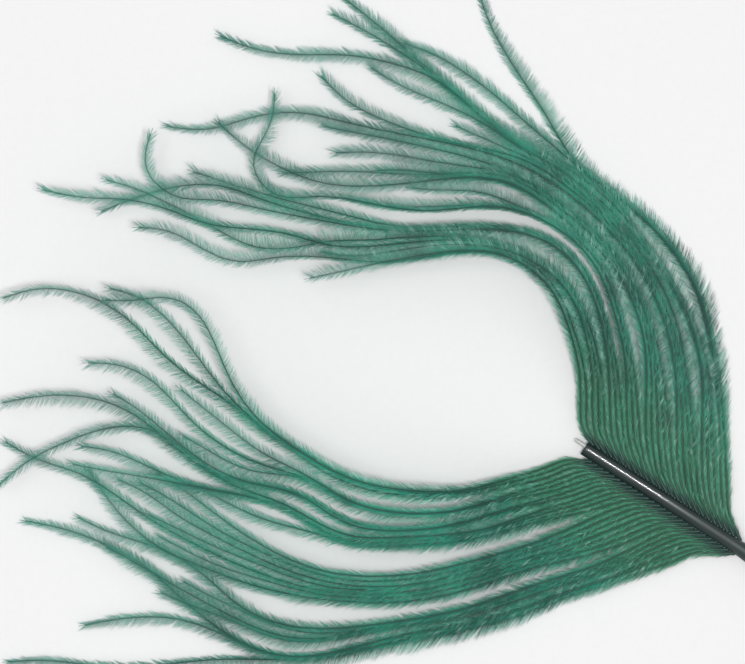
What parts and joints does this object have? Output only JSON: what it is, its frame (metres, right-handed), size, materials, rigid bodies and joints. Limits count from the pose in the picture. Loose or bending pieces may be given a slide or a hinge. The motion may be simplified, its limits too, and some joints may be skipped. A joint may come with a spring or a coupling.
{
  "type": "ostrich plume section",
  "caption": "Cut length of dyed ostrich plume: a quill with a bare round stem, and two vanes of long soft barbs that lift in tufts about the sides of the quill.",
  "frame": {"origin": "centre of the free end of the bare quill stem", "axes": "+Y up the quill from its bare end towards the cut end, +X towards the right vane, +Z the upper face, away from the surface that the plume lies on"},
  "size_m": [0.1661, 0.1805, 0.013],
  "materials": {
    "dark_horn": "glossy dark horn with a bright ridge",
    "pith": "pale cellular pith, matt",
    "clear_horn": "thin pale horn",
    "dyed_barb": "dyed emerald to teal, soft and slightly glossy"
  },
  "bodies": {
    "quill": {"rachis_cortex": "dark_horn", "rachis_pith": "pith", "pulp_caps": "pith", "cut_end_sliver": "clear_horn"},
    "right_outer_tuft": {"barb_right_01": "dyed_barb", "barb_right_02": "dyed_barb", "barb_right_03": "dyed_barb", "barb_right_04": "dyed_barb", "barb_right_05": "dyed_barb", "barb_right_06": "dyed_barb", "barb_right_07": "dyed_barb", "barb_right_08": "dyed_barb", "barb_right_09": "dyed_barb", "barb_right_10": "dyed_barb", "barb_right_11": "dyed_barb", "barb_right_12": "dyed_barb", "barb_right_13": "dyed_barb", "barb_right_14": "dyed_barb", "barb_right_15": "dyed_barb", "barb_right_16": "dyed_barb", "barb_right_17": "dyed_barb"},
    "right_inner_tuft": {"barb_right_18": "dyed_barb", "barb_right_19": "dyed_barb", "barb_right_20": "dyed_barb", "barb_right_21": "dyed_barb", "barb_right_22": "dyed_barb", "barb_right_23": "dyed_barb", "barb_right_24": "dyed_barb", "barb_right_25": "dyed_barb"},
    "left_outer_tuft": {"barb_left_01": "dyed_barb", "barb_left_02": "dyed_barb", "barb_left_03": "dyed_barb", "barb_left_04": "dyed_barb", "barb_left_05": "dyed_barb", "barb_left_06": "dyed_barb", "barb_left_07": "dyed_barb"},
    "left_middle_tuft": {"barb_left_08": "dyed_barb", "barb_left_09": "dyed_barb", "barb_left_10": "dyed_barb", "barb_left_11": "dyed_barb", "barb_left_12": "dyed_barb", "barb_left_13": "dyed_barb", "barb_left_14": "dyed_barb"},
    "left_inner_tuft": {"barb_left_15": "dyed_barb", "barb_left_16": "dyed_barb", "barb_left_17": "dyed_barb", "barb_left_18": "dyed_barb", "barb_left_19": "dyed_barb", "barb_left_20": "dyed_barb", "barb_left_21": "dyed_barb", "barb_left_22": "dyed_barb", "barb_left_23": "dyed_barb", "barb_left_24": "dyed_barb", "barb_left_25": "dyed_barb", "barb_left_26": "dyed_barb"}
  },
  "joints": [
    {"name": "right_outer_lift", "type": "hinge", "parent": "quill", "child": "right_outer_tuft", "pos_m": [0.00155, 0.03608, 0], "axis": [0, -1, 0], "range_deg": [0, 45], "stiffness_Nm_per_rad": 0.0001},
    {"name": "right_inner_lift", "type": "hinge", "parent": "quill", "child": "right_inner_tuft", "pos_m": [0.00155, 0.05433, 0], "axis": [0, -1, 0], "range_deg": [0, 18], "stiffness_Nm_per_rad": 0.00005},
    {"name": "left_middle_lift", "type": "hinge", "parent": "quill", "child": "left_middle_tuft", "pos_m": [-0.00155, 0.0376, 0], "axis": [0, 1, 0], "range_deg": [0, 30], "stiffness_Nm_per_rad": 0.00005},
    {"name": "left_outer_lift", "type": "hinge", "parent": "quill", "child": "left_outer_tuft", "pos_m": [-0.00155, 0.02808, 0], "axis": [0, 1, 0], "range_deg": [0, 21], "stiffness_Nm_per_rad": 0.00005},
    {"name": "left_inner_lift", "type": "hinge", "parent": "quill", "child": "left_inner_tuft", "pos_m": [-0.00155, 0.05052, 0], "axis": [0, 1, 0], "range_deg": [0, 39], "stiffness_Nm_per_rad": 0.0001}
  ],
  "couplings": [
    {"joint": "right_inner_lift", "follows": "right_outer_lift", "ratio": 0.4},
    {"joint": "left_outer_lift", "follows": "left_middle_lift", "ratio": 0.7},
    {"joint": "left_inner_lift", "follows": "left_middle_lift", "ratio": 1.3}
  ]
}
